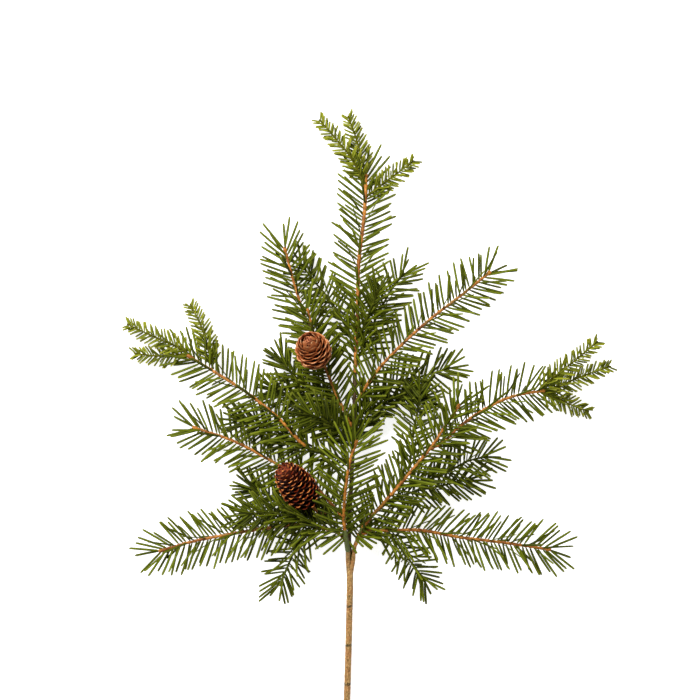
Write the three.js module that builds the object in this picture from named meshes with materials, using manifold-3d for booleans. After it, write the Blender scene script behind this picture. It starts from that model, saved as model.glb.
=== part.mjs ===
// A cut douglas fir branch with two cones, lying flat.
// Millimetres. +X is to the right of the branch, +Y runs from the cut end to the leading tip, +Z is up.
// The floor is z = 0. Each spray is a slim woody twig with flat needles fused to it.
import * as THREE from 'three';
import { mergeVertices } from 'three/addons/utils/BufferGeometryUtils.js';
import Module from 'manifold-3d';

const wasm = await Module();
wasm.setup();

// The middle of the branch's outline, measured from the fork of the stem
const MIDDLE = { x: 16, y: 94 };

// Wood
const STEM_BASE = 2.5;
const STEM_TIP = 1.9;
const FORK_SHARE = { from: 0.46, to: 0.58 };
const STEM_SIDES = 8;
const TWIG_SIDES = 4;
const TWIG_STEP = 15;
const BARK_SHARE = 0.95;
const BUD_LENGTH = 5;
const BUD_SWELL = 1.35;
const BUD_END = 0.55;
const SEAT_STEP = 0.1;
const SMALLEST_DETAIL = 0.03;

// Needles
const NEEDLE_WIDTH = 1.9;
const NEEDLE_THICKNESS = 1.1;
const NEEDLE_ROOT_SCALE = 0.55;
const NEEDLE_TIP_SCALE = 0.8;
const NEEDLE_LEAN = 62;
const NEEDLE_TIP_LEAN = 28;
const NEEDLE_EVERY = 6.1;
const NEEDLE_LENGTHS = { shortest: 0.9, longest: 1.05 };
const LEAN_SPREAD = 5;
const ROLL_SPREAD = 8;
const FLOOR_ROOM = 0.3;
const TIP_NEEDLES = 4;
const TIP_NEEDLES_BACK = 2;
const TIP_NEEDLES_TURN = 20;
const TIP_STRETCH = 22;
const ROW_TURN = 137.508;
const ROW_FLATTEN = 0.32;

// Fresh shoots: slimmer, with short needles that shrink towards the tip
const FRESH_BASE = 0.95;
const FRESH_TIP = 0.7;
const FRESH_NEEDLE = 11;
const FRESH_EVERY = 4.4;
const FRESH_SIZE = 0.75;
const FRESH_TAPER = 0.55;

// Room between separate pieces, and what a needle tries to find it: shorter reaches and turns in degrees
const SEAT_GAP = 0.3;
const CLEAR = 0.35;
const OWN_CLEAR = 0.1;
const FREE_FROM = 0.2;
const REACHES = [1, 0.85, 0.7];
const TURNS = [0, 18, -18, 36, -36, 60, -60];

// Cones. A row's rings say how deep each lies, how far it rises from the row's foot, and if it is lobed.
const CONE_RADIUS = 14;
const CONE_WIDEST = 0.78;
const CONE_HEART = { from: 0.3, to: 0.7, room: 0.6 };
const CONE_ROWS = 9;
const FIRST_ROW = 0.4;
const SCALES_ROUND = 8;
const SCALE_NOTCH = 0.84;
const SCALE_DROP = 0.35;
const SCALE_RINGS = [
  { depth: 0.62, rise: 0, lobed: false },
  { depth: 1, rise: 0.77, lobed: true },
  { depth: 0.9, rise: 1, lobed: true },
];
const STALK_RADIUS = 1.3;
const STALK_SINK = 0.2;

const COLOURS = {
  stem: 0xb9965f,
  needles: 0x5a7323,
  fresh: 0x829632,
  paleCone: 0xaf6e46,
  darkCone: 0x6e2810,
};

// The main stem: from the cut end, which lies on the floor, past the fork to the foot of the leader
const STEM_ROUTE = [
  [-4.6, -166, 2.3], [-3.8, -146, 2.3], [-2.2, -110, 5], [-0.8, -60, 11], [0, -15, 17], [0.4, 15, 20],
  [1.2, 60, 21], [3.2, 108, 22], [4, 146, 22],
];

// Each twig's route runs from the wood that it grows on to its tip. A bare end carries fresh shoots.
const SPRAYS = [
  {
    name: 'leader_spray', parent: 'main_stem', inLine: true, bareEnd: true, base: 1.8, tip: 1.3, needle: 27,
    route: [[4, 146, 22], [6.1, 197, 21], [7, 234, 19], [11, 268, 17], [12.6, 290, 15], [12.4, 306, 14]],
  },
  {
    name: 'front_spray', parent: 'main_stem', base: 1.8, tip: 1.2, needle: 30,
    route: [
      [0.1, -5, 18], [-1.8, 4, 25], [-3.2, 14, 32], [-4.8, 28, 38], [-4.4, 44, 44], [-0.1, 76, 48],
      [5.6, 93, 48],
    ],
  },
  {
    name: 'left_upper_spray', parent: 'main_stem', bareEnd: true, base: 1.7, tip: 1.2, needle: 27,
    route: [
      [1.6, 72, 21], [-10, 78, 28], [-20, 81, 32], [-36, 88, 34], [-55, 108, 33], [-81, 129, 29],
      [-106, 145, 25], [-130.6, 159.8, 21],
    ],
  },
  {
    name: 'right_branch_spray', parent: 'main_stem', base: 1.9, tip: 1.1, needle: 27,
    route: [
      [0.2, -4, 18], [3.2, 4, 21], [6.4, 14, 25], [10, 22, 29], [16, 30, 33], [34, 51, 40], [54, 75, 43],
      [64, 87, 44], [73, 100, 42], [87, 121, 38],
    ],
  },
  {
    name: 'right_outer_spray', parent: 'right_branch_spray', bareEnd: true, base: 1.6, tip: 1.2, needle: 27,
    route: [
      [64, 86, 44], [75, 92, 42], [84, 101, 40], [99, 112, 37], [119, 123, 31], [134, 128, 27],
      [156, 131.5, 22],
    ],
  },
  {
    name: 'right_upper_spray', parent: 'main_stem', base: 1.6, tip: 1.1, needle: 26,
    route: [[3.6, 120, 22], [19, 144, 28], [40, 167, 31], [67, 191, 29], [88, 207, 25], [113, 227, 18]],
  },
  {
    name: 'right_lower_spray', parent: 'right_branch_spray', base: 1.6, tip: 1.1, needle: 27,
    route: [
      [5.5, 12, 24], [11, 17, 27], [18, 20.5, 29], [32, 20, 29], [56, 20, 27], [87, 14, 21], [123, 9, 15],
      [162, 3, 12],
    ],
  },
  {
    name: 'left_lower_spray', parent: 'front_spray', base: 1.6, tip: 1.1, needle: 27,
    route: [
      [-2.8, 11, 30], [-8, 17, 30], [-16, 20.5, 30], [-36, 25, 30], [-64, 22, 27], [-103, 15, 20],
      [-130, 9, 15], [-154, 1.6, 12],
    ],
  },
  {
    name: 'left_middle_spray', parent: 'main_stem', base: 1.6, tip: 1.1, needle: 27,
    route: [
      [0.6, 22, 20], [-6, 30, 18], [-14, 39, 16], [-24, 50, 15], [-40, 62, 15], [-60, 73, 16], [-92, 90, 16],
      [-127, 102, 13],
    ],
  },
  {
    name: 'upper_left_spray', parent: 'main_stem', base: 1.5, tip: 1, needle: 27,
    route: [
      [3, 100, 22], [-6, 118, 22], [-16, 140, 21], [-24, 163, 19], [-33, 182, 17], [-43, 211, 15],
      [-53, 247, 13],
    ],
  },
  {
    name: 'cone_bearing_spray', parent: 'upper_left_spray', base: 1.3, tip: 1, needle: 24,
    route: [[-15, 138, 21], [-20, 150, 27], [-26, 166, 31], [-30, 182, 33], [-34, 197, 34]],
  },
  {
    name: 'left_front_spray', parent: 'left_lower_spray', base: 1.3, tip: 1, needle: 24,
    route: [[-20, 20, 28.5], [-32, 28, 33], [-48, 33, 35], [-68, 34, 33], [-84, 33.6, 30]],
  },
  {
    name: 'left_raised_spray', parent: 'main_stem', base: 1.3, tip: 1, needle: 24,
    route: [[2.2, 84, 22], [-4, 95, 30], [-20, 108, 40], [-36, 114, 45]],
  },
  {
    name: 'right_inner_spray', parent: 'right_branch_spray', base: 1.2, tip: 1, needle: 23,
    route: [[43, 60, 41], [52, 60, 38], [62, 61, 35], [78, 67, 31], [94, 75, 26], [111, 79, 22]],
  },
  {
    name: 'right_upright_spray', parent: 'right_branch_spray', base: 1.2, tip: 1, needle: 20,
    route: [[46, 66, 42], [48.5, 82, 36], [51, 100, 31], [54, 116, 28], [57, 137, 25]],
  },
  {
    name: 'upper_right_raised_spray', parent: 'leader_spray', base: 1.2, tip: 1, needle: 22,
    route: [[5.4, 172, 22], [10, 181, 28], [16, 195, 34], [22.4, 212, 40]],
  },
  {
    name: 'upper_right_spray', parent: 'leader_spray', base: 1.2, tip: 1, needle: 22,
    route: [[4.4, 154, 22], [12, 168, 24], [22.6, 193, 23], [35, 215, 20], [44, 226, 17]],
  },
  {
    name: 'left_upper_side_spray', parent: 'left_upper_spray', base: 1.2, tip: 1, needle: 22,
    route: [[-28, 83, 33], [-40, 88, 27], [-54, 96, 23], [-72, 104, 20], [-89, 108, 17]],
  },
  {
    name: 'left_lower_side_spray', parent: 'left_lower_spray', base: 1.3, tip: 1, needle: 24,
    route: [[-27, 23, 29], [-35, 15, 26], [-42, 8, 23], [-50, -10, 16], [-57, -26, 12]],
  },
  {
    name: 'right_lower_side_spray', parent: 'right_lower_spray', base: 1.2, tip: 1, needle: 24,
    route: [[30, 20, 29], [38, 10, 24], [44, 3, 21], [53, -9, 16], [62, -21, 12]],
  },
  {
    name: 'right_inner_lower_spray', parent: 'right_branch_spray', base: 1.2, tip: 1, needle: 22,
    route: [[24, 39, 36], [37, 45, 29], [50, 50, 22], [70, 54, 16], [88, 58, 13], [99, 59, 12]],
  },
  {
    name: 'right_middle_lower_spray', parent: 'main_stem', base: 1.2, tip: 1, needle: 20,
    route: [[2, 84, 22], [9, 104, 20], [21, 119, 19], [40, 126, 20], [60, 126, 19]],
  },
  {
    name: 'right_middle_spray', parent: 'main_stem', base: 1.4, tip: 1, needle: 22,
    route: [[3.1, 104, 22], [20, 125, 18], [32, 135, 16], [47, 141, 15], [59, 143, 14], [81, 150, 13]],
  },
  {
    name: 'upper_left_inner_spray', parent: 'leader_spray', base: 1.2, tip: 1, needle: 20,
    route: [[5.2, 170, 22], [-4, 184, 20], [-16, 204, 17], [-26, 216, 14], [-40, 234, 11]],
  },
  {
    name: 'left_inner_spray', parent: 'upper_left_spray', base: 1.1, tip: 0.9, needle: 21,
    route: [[-8, 122, 22], [-18, 127, 17], [-36, 136, 14], [-48, 146, 13], [-55, 157, 12]],
  },
  {
    name: 'left_back_spray', parent: 'main_stem', base: 1.2, tip: 0.9, needle: 22,
    route: [[2.6, 94, 22], [-8, 106, 17], [-28, 120, 13], [-45, 127, 12], [-62, 132, 12]],
  },
  {
    name: 'left_low_spray', parent: 'left_middle_spray', base: 1.2, tip: 0.9, needle: 22,
    route: [[-10, 34, 17], [-20, 35, 14], [-32, 38, 12], [-54, 41, 12], [-70, 48, 12], [-80, 54, 12]],
  },
];

const FRESH_SHOOTS = [
  {
    name: 'fresh_top_middle', parent: 'leader_spray', inLine: true,
    route: [[12.4, 306, 14], [9.1, 320, 14], [3.8, 338, 12], [-1.6, 353, 10]],
  },
  {
    name: 'fresh_top_left', parent: 'leader_spray',
    route: [[12.5, 297, 15], [6, 309, 19], [-0.2, 320, 19], [-8.2, 330, 17], [-24.8, 350, 11]],
  },
  {
    name: 'fresh_top_right', parent: 'leader_spray',
    route: [[12.6, 287, 15], [23, 295, 17], [37.6, 306, 15], [52, 317, 10]],
  },
  {
    name: 'fresh_right_middle', parent: 'right_outer_spray', inLine: true,
    route: [[156, 131.5, 22], [163, 133, 21], [182, 141, 17], [210, 151, 11]],
  },
  {
    name: 'fresh_right_upper', parent: 'right_outer_spray',
    route: [[150, 130.6, 23], [163, 142, 24], [180, 155, 19], [200, 171, 11]],
  },
  {
    name: 'fresh_right_lower', parent: 'right_outer_spray',
    route: [[152, 131, 23], [161, 127, 20], [169, 124, 18], [178, 120, 15], [193, 114, 10]],
  },
  {
    name: 'fresh_left_middle', parent: 'left_upper_spray', inLine: true,
    route: [[-130.6, 159.8, 21], [-136, 160, 20], [-151, 159, 16], [-174, 161, 11]],
  },
  {
    name: 'fresh_left_upper', parent: 'left_upper_spray',
    route: [[-125, 157, 22], [-134, 164, 22], [-149, 171, 19], [-163, 177, 15], [-180, 185, 10]],
  },
  {
    name: 'fresh_left_raised', parent: 'left_upper_spray',
    route: [[-110, 147.5, 24], [-114, 166, 23], [-120, 184, 18], [-129, 201, 12]],
  },
];

// Each cone sits at the end of its stalk's route, and the lower its fullness, the more it is like a barrel
const CONES = [
  {
    name: 'cone_upper', parent: 'cone_bearing_spray', colour: COLOURS.paleCone, roughness: 0.75,
    route: [[-22.5, 156, 29], [-24.3, 154.4, 33], [-25.5, 156, 36]], tip: [-33.7, 173.6, 66], fullness: 0.52,
  },
  {
    name: 'cone_lower', parent: 'left_middle_spray', colour: COLOURS.darkCone, roughness: 0.35,
    route: [[-16, 41, 16], [-18, 35, 19], [-24, 33, 23.5], [-31, 41, 30]], tip: [-52, 70, 56], fullness: 0.4,
  },
];

const UP = new THREE.Vector3(0, 0, 1);
const radians = THREE.MathUtils.degToRad;
const lerp = THREE.MathUtils.lerp;

// Seeded random numbers, the same on every run
let seed = 7;
function random(low, high) {
  seed = (seed * 1664525 + 1013904223) % 4294967296;
  return low + (high - low) * seed / 4294967296;
}

// Closed geometries joined into one closed body

function toSolid(geometry) {
  geometry.deleteAttribute('normal');
  geometry.deleteAttribute('uv');
  const merged = mergeVertices(geometry, 1e-4);
  return new wasm.Manifold(new wasm.Mesh({
    numProp: 3,
    vertProperties: new Float32Array(merged.attributes.position.array),
    triVerts: new Uint32Array(merged.index.array),
  }));
}

// The largest body of the union, without slivers, sealed bubbles and loose scraps
function fuse(geometries) {
  const joined = wasm.Manifold.union(geometries.map(toSolid)).simplify(SMALLEST_DETAIL);
  const bodies = joined.decompose().sort((a, b) => b.volume() - a.volume());
  const mesh = bodies[0].getMesh();
  const geometry = new THREE.BufferGeometry();
  const places = new Float32Array(mesh.vertProperties);
  geometry.setAttribute('position', new THREE.BufferAttribute(places, 3));
  geometry.setIndex([...mesh.triVerts]);
  geometry.computeVertexNormals();
  return geometry;
}

// Wood: cylinders bent along a curve

// A twig's own axes at a place on its curve: along it, level across it, and over it
function axesAt(curve, share) {
  const along = curve.getTangentAt(share);
  const across = new THREE.Vector3().crossVectors(along, UP).normalize();
  const over = new THREE.Vector3().crossVectors(across, along);
  return { along, across, over };
}

// Stations are the places of the rod's rings along the curve, each with its radius
function bentRod(curve, stations, sides) {
  const rod = new THREE.CylinderGeometry(1, 1, 1, sides, stations.length - 1);
  rod.rotateY(Math.PI / sides);
  const place = rod.attributes.position;
  for (let i = 0; i < place.count; i++) {
    const { share, radius } = stations[Math.round((place.getY(i) + 0.5) * (stations.length - 1))];
    const { across, over } = axesAt(curve, share);
    const point = curve.getPointAt(share).addScaledVector(across, place.getX(i) * radius);
    point.addScaledVector(over, place.getZ(i) * radius);
    place.setXYZ(i, point.x, point.y, Math.max(0, point.z));
  }
  return rod;
}

function evenStations(start, length, radiusAt) {
  const steps = Math.max(2, Math.round(length * (1 - start) / TWIG_STEP));
  const stations = [];
  for (let i = 0; i <= steps; i++) {
    const share = lerp(start, 1, i / steps);
    stations.push({ share, radius: radiusAt(share) });
  }
  return stations;
}

function woodLines(curve, stations) {
  return stations.slice(1).map((station, i) => ({
    line: new THREE.Line3(curve.getPointAt(stations[i].share), curve.getPointAt(station.share)),
    radius: stations[i].radius,
  }));
}

// The spot on the wood's axis nearest to a point, and the room between the point and the bark there
function nearestOnWood(point, wood) {
  let best = { room: Infinity };
  for (const { line, radius } of wood) {
    const spot = line.closestPointToPoint(point, true, new THREE.Vector3());
    const room = spot.distanceTo(point) - radius * BARK_SHARE;
    if (room < best.room) best = { spot, room };
  }
  return best;
}

// How far the corners of a twig's end face are from its parent's bark
function seatRoom(curve, share, radius, wood) {
  const { across, over } = axesAt(curve, share);
  const centre = curve.getPointAt(share);
  let room = Infinity;
  for (let corner = 0.5; corner < TWIG_SIDES; corner++) {
    const turn = 2 * Math.PI * corner / TWIG_SIDES;
    const rim = centre.clone().addScaledVector(across, radius * Math.sin(turn));
    rim.addScaledVector(over, radius * Math.cos(turn));
    room = Math.min(room, nearestOnWood(rim, wood).room);
  }
  return room;
}

// A twig grows from the nearest spot on its parent's axis, and begins just clear of the parent's bark
function growTwig({ parent, route, inLine, bareEnd, base, tip }) {
  const parentWood = twigs.get(parent).wood;
  const points = route.map((p) => new THREE.Vector3(...p));
  if (!inLine) points[0].copy(nearestOnWood(points[0], parentWood).spot);
  const curve = new THREE.CatmullRomCurve3(points);
  const length = curve.getLength();
  let start = inLine ? SEAT_GAP / length : 0;
  while (!inLine && seatRoom(curve, start, base, parentWood) < SEAT_GAP) start += SEAT_STEP / length;
  const stations = evenStations(start, length, (share) => lerp(base, tip, share));
  if (!bareEnd) {
    stations.pop();
    stations.push({ share: 1 - BUD_LENGTH / length, radius: tip });
    stations.push({ share: 1 - BUD_LENGTH / 2 / length, radius: tip * BUD_SWELL });
    stations.push({ share: 1, radius: tip * BUD_END });
  }
  return { curve, length, start, stations, wood: woodLines(curve, stations) };
}

// Needles: flat three-sided blades, set on the twig's axis and leaning towards its tip

function needleGeometry(root, tip, face, size) {
  const width = NEEDLE_WIDTH * size;
  const thickness = NEEDLE_THICKNESS * size;
  const section = new THREE.Shape([
    new THREE.Vector2(-width / 2, -thickness / 3),
    new THREE.Vector2(width / 2, -thickness / 3),
    new THREE.Vector2(0, thickness * 2 / 3),
  ]);
  const needle = new THREE.ExtrudeGeometry(section, { depth: root.distanceTo(tip), bevelEnabled: false });
  const along = tip.clone().sub(root).normalize();
  const side = new THREE.Vector3().crossVectors(face, along).normalize();
  const over = new THREE.Vector3().crossVectors(along, side);
  const place = needle.attributes.position;
  for (let i = 0; i < place.count; i++) {
    const scale = place.getZ(i) > 0 ? NEEDLE_TIP_SCALE : NEEDLE_ROOT_SCALE;
    const point = root.clone().addScaledVector(along, place.getZ(i));
    point.addScaledVector(side, place.getX(i) * scale).addScaledVector(over, place.getY(i) * scale);
    place.setXYZ(i, point.x, point.y, Math.max(0, point.z));
  }
  return needle;
}

function isClear(line, radius, others, room) {
  return others.every((other) => {
    const reach = radius + other.radius + room;
    return line.distanceSqToLine3(other.line) > reach * reach;
  });
}

// One needle. It turns round the twig or shortens until it is clear of what is there already.
function placeNeedle({ twig, share, roll, lean, length, size }, own, others) {
  const { along, across, over } = axesAt(twig.curve, share);
  const root = twig.curve.getPointAt(share);
  const radius = NEEDLE_WIDTH * size / 2;
  for (const reach of REACHES) {
    for (const turn of TURNS) {
      const angle = roll + radians(turn);
      const out = across.clone().multiplyScalar(Math.cos(angle)).addScaledVector(over, Math.sin(angle));
      const heading = along.clone().multiplyScalar(Math.cos(lean)).addScaledVector(out, Math.sin(lean));
      const tip = root.clone().addScaledVector(heading, length * reach);
      tip.z = Math.max(FLOOR_ROOM, tip.z);
      const whole = new THREE.Line3(root, tip);
      const free = new THREE.Line3(root.clone().lerp(tip, FREE_FROM), tip);
      if (!isClear(free, radius, own, OWN_CLEAR)) continue;
      if (!isClear(whole, radius, others, CLEAR)) continue;
      const face = over.clone().multiplyScalar(Math.abs(Math.cos(angle)));
      face.addScaledVector(along, Math.abs(Math.sin(angle)));
      return { geometry: needleGeometry(root, tip, face, size), line: free, radius };
    }
  }
  return null;
}

function growNeedles({ twig, needle, every, size, taper }, others) {
  const own = [];
  const add = (share, roll, lean, length) => {
    const placed = placeNeedle({ twig, share, roll, lean, length, size }, own, others);
    if (placed) own.push(placed);
  };
  for (let i = 0; i < TIP_NEEDLES; i++) {
    const roll = radians(360 * i / TIP_NEEDLES + TIP_NEEDLES_TURN);
    add(1 - TIP_NEEDLES_BACK / twig.length, roll, radians(NEEDLE_TIP_LEAN), needle * taper);
  }
  const run = twig.length * (1 - twig.start) - BUD_LENGTH;
  for (let fromTip = every / 2; fromTip < run; fromTip += every) {
    const share = 1 - (BUD_LENGTH / 2 + fromTip) / twig.length;
    const turn = radians(ROW_TURN * fromTip / every);
    const roll = turn - ROW_FLATTEN * Math.sin(2 * turn) + radians(random(-ROLL_SPREAD, ROLL_SPREAD));
    const nearTip = Math.max(0, 1 - fromTip / TIP_STRETCH);
    const lean = lerp(NEEDLE_LEAN, NEEDLE_TIP_LEAN, nearTip) + random(-LEAN_SPREAD, LEAN_SPREAD);
    const length = needle * lerp(1, taper, share) * random(NEEDLE_LENGTHS.shortest, NEEDLE_LENGTHS.longest);
    add(share, roll, radians(lean), length);
  }
  return own;
}

// Cones: rows of scales round an egg shape, each row lifting to a scalloped lip over the next one

function coneProfile(share, fullness) {
  return CONE_RADIUS * Math.pow(Math.sin(Math.PI * Math.pow(share, CONE_WIDEST)), fullness);
}

// The cone stands on y = 0 along +Y, then turns onto its own axis
function coneGeometry(base, tip, fullness) {
  const axis = tip.clone().sub(base);
  const length = axis.length();
  const rowHeight = 1 / (CONE_ROWS + 1);
  const rings = [];
  for (let row = 0; row < CONE_ROWS; row++) {
    const rowRadius = coneProfile(rowHeight * (row + FIRST_ROW + 0.5), fullness);
    for (const { depth, rise, lobed } of SCALE_RINGS) {
      rings.push({
        share: rowHeight * (row + FIRST_ROW + rise), radius: rowRadius * depth, phase: row % 2, lobed,
      });
    }
  }
  const ends = [{ share: 0, radius: 0 }, ...rings, { share: 1, radius: 0 }];
  const profile = ends.map(({ share, radius }) => new THREE.Vector2(radius, length * share));
  const cone = new THREE.LatheGeometry(profile, 2 * SCALES_ROUND);
  const place = cone.attributes.position;
  for (let i = 0; i < place.count; i++) {
    const ring = ends[i % ends.length];
    const column = Math.floor(i / ends.length);
    const between = ring.lobed && (column + ring.phase) % 2 === 1;
    const scale = between ? SCALE_NOTCH : 1;
    place.setX(i, place.getX(i) * scale);
    place.setZ(i, place.getZ(i) * scale);
    if (between) place.setY(i, place.getY(i) - length * rowHeight * SCALE_DROP);
  }
  const turn = new THREE.Quaternion().setFromUnitVectors(new THREE.Vector3(0, 1, 0), axis.normalize());
  return cone.applyQuaternion(turn).translate(base.x, base.y, base.z);
}

// The branch

const branch = new THREE.Group();
branch.position.set(-MIDDLE.x, -MIDDLE.y, 0);

function addPiece(name, geometries, color, roughness) {
  const finish = new THREE.MeshStandardMaterial({ color, roughness, metalness: 0 });
  const piece = new THREE.Mesh(fuse(geometries), finish);
  piece.name = name;
  branch.add(piece);
}

// All the wood comes first, so that every needle can keep clear of it
const twigs = new Map();
const stemCurve = new THREE.CatmullRomCurve3(STEM_ROUTE.map((p) => new THREE.Vector3(...p)));
const stemStations = evenStations(0, stemCurve.getLength(), (share) => {
  const pastFork = THREE.MathUtils.smoothstep(share, FORK_SHARE.from, FORK_SHARE.to);
  return lerp(STEM_BASE, STEM_TIP, pastFork);
});
twigs.set('main_stem', { wood: woodLines(stemCurve, stemStations) });
addPiece('main_stem', [bentRod(stemCurve, stemStations, STEM_SIDES)], COLOURS.stem, 0.8);

const greens = [
  ...SPRAYS.map((spray) => ({
    ...spray, every: NEEDLE_EVERY, size: 1, taper: 1, color: COLOURS.needles,
  })),
  ...FRESH_SHOOTS.map((shoot) => ({
    ...shoot, base: FRESH_BASE, tip: FRESH_TIP, needle: FRESH_NEEDLE, every: FRESH_EVERY, size: FRESH_SIZE,
    taper: FRESH_TAPER, color: COLOURS.fresh,
  })),
];
for (const green of greens) {
  green.twig = growTwig(green);
  twigs.set(green.name, green.twig);
}

for (const cone of CONES) {
  const base = new THREE.Vector3(...cone.route.at(-1));
  const tip = new THREE.Vector3(...cone.tip);
  const route = [...cone.route, base.clone().lerp(tip, STALK_SINK).toArray()];
  const stalk = growTwig({ ...cone, route, bareEnd: true, base: STALK_RADIUS, tip: STALK_RADIUS });
  const heart = new THREE.Line3(
    base.clone().lerp(tip, CONE_HEART.from),
    base.clone().lerp(tip, CONE_HEART.to),
  );
  twigs.set(cone.name, { wood: [...stalk.wood, { line: heart, radius: CONE_RADIUS + CONE_HEART.room }] });
  addPiece(
    cone.name,
    [bentRod(stalk.curve, stalk.stations, TWIG_SIDES), coneGeometry(base, tip, cone.fullness)],
    cone.colour,
    cone.roughness,
  );
}

// Then the needles, spray by spray, each clear of all wood and needles of the other pieces
const placedNeedles = [];
for (const green of greens) {
  const otherWood = [...twigs].filter(([name]) => name !== green.name).flatMap(([, twig]) => twig.wood);
  const needles = growNeedles(green, [...otherWood, ...placedNeedles]);
  placedNeedles.push(...needles);
  const core = bentRod(green.twig.curve, green.twig.stations, TWIG_SIDES);
  addPiece(green.name, [core, ...needles.map((needle) => needle.geometry)], green.color, 0.5);
}

export default branch;
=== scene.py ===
import math
import random
from typing import NamedTuple

import bmesh
import bpy
from mathutils import Matrix, Vector


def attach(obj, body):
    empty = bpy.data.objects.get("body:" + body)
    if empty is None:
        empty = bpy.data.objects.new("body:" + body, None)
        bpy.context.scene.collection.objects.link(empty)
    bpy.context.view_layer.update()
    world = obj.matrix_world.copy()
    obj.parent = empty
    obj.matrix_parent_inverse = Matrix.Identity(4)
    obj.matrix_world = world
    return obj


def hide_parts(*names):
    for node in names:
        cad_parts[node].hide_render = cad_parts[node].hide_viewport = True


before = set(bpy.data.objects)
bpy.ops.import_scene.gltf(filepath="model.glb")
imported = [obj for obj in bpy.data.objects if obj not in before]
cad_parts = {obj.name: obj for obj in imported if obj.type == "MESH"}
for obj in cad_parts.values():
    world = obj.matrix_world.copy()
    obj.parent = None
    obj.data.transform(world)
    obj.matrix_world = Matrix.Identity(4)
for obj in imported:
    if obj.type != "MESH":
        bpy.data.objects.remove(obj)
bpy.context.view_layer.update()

# A cut douglas fir branch with two cones, lying on a pale floor and seen from above. Routes and sizes are in
# millimetres, measured from the fork of the stem. MM and MIDDLE bring them into the frame's metres.
MM = 0.001
MIDDLE = Vector((16, 94, 0))
UP = Vector((0, 0, 1))
dice = random.Random(11)

# Wood
STEM_ROUTE = [
    (-4.6, -166, 2.4), (-3.8, -146, 2.4), (-2.2, -110, 5), (-0.8, -60, 11), (0, -15, 17), (-0.6, 15, 19),
    (1.2, 60, 21), (3.2, 108, 22), (4, 146, 22),
]
STEM_BASE = 2.7
STEM_TIP = 1.7
FORK_FROM = 0.46
FORK_TO = 0.58
# Where the painted shade on the stem begins, in millimetres from the fork
FORK_SHADE_FROM = -6
RING_EVERY = 1.3
ROD_DETAIL = 4
BUD_LENGTH = 5
BUD_SWELL = 1.5
BUD_CURVE = {"from": 0.12, "span": 0.7, "skew": 0.8, "bluntness": 0.7}
KNOB_EVERY = 4.4
KNOB_SWELL = 0.19
SEAMS = (-42.4, -74.4, -106.4)
FLOOR_FLAT = 0.15

# How high the lumps of each kind of wood are, and how many times wider than high
LUMPS = {"stem": 0.5, "prong": 0.3, "twig": 0.35, "shoot": 0.2, "stalk": 0.25, "core": 0.5}
LUMP_SPREAD = 4

# Needles: leans, spreads and turns are in degrees, and bows and drops are shares of a needle's length
NEEDLE_WIDTH = 1.95
NEEDLE_THICKNESS = 1.15
LEAN_SPREAD = 5
ROLL_SPREAD = 8
FIRST_NEEDLE = 1.5
LENGTHS = (0.86, 1.05)
BOWS = (-0.02, 0.09)
DROPS = (-0.05, 0.03)
FACE_SPREAD = 0.12
FOOT_STRETCH = 12
FOOT_SHORTER = 0.25
TIP_STRETCH = 18
TIP_PRESS = 0.4
ROW_TURN = 137.508
FLOOR_ROOM = 0.9
FLOOR_SPREAD = 0.6
LOWEST_POINT = 0.05
HIGHEST_TIP = 71.5
TOP_SPREAD = 3
FACE_LIFT = 0.4
FACE_TURN = 0.7

# By how many degrees a needle may turn round its twig to miss a cone
TURNS_ASIDE = (0, 30, -30, 60, -60)


class Dress(NamedTuple):
    """How a twig is dressed with needles."""

    every: float  # millimetres of twig to a needle
    flatten: float  # how far the rows are pressed to its two sides
    press: float  # how many degrees nearer to the twig the needles on top lie
    dull: float  # how bright its darkest needles are
    bright: float  # how bright its brightest needles are
    lean: float  # degrees between the twig and its needles
    tip_lean: float  # the same at its tip


# An open spray shows its twig, a full one hides it, and a combed one lies between the two
# Full and combed sprays have duller needles: partly older leaves, partly painted shade among the other
# sprays
DRESS = {
    "open": Dress(1.24, 0.46, 8, 0.2, 1, 62, 25),
    "combed": Dress(1.16, 0.44, 18, 0.05, 0.9, 62, 25),
    "full": Dress(0.74, 0.26, 26, 0, 0.68, 62, 25),
    "fresh": Dress(0.84, 0.42, 12, 0, 1, 54, 42),
}

# How far needles cover the foot of a twig, for two sprays and for the others, and by how many degrees they
# lie down there
COVERED_FEET = {"left_upper_spray": 56, "right_outer_spray": 20}
COVERED_FOOT = 32
FOOT_PRESS = 16

# How far the foot of a twig is darkened as painted shade, and how much of it, beyond the radius of the twig,
# has no needles
PAINTED_SHADE_FEET = {"left_upper_spray": 43, "front_spray": 9, "right_branch_spray": 8}
BARE_FOOT = 3

# Fresh shoots
FRESH_BASE = 0.95
FRESH_TIP = 0.6
FRESH_NEEDLE = 15
FRESH_WIDTH = 1.6
FRESH_TAPER = 0.5
FRESH_FIRST = 3

# Cones
CONE_RADIUS = 14.4
CONE_WIDEST = 0.75
STALK_RADIUS = 1.1

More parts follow.
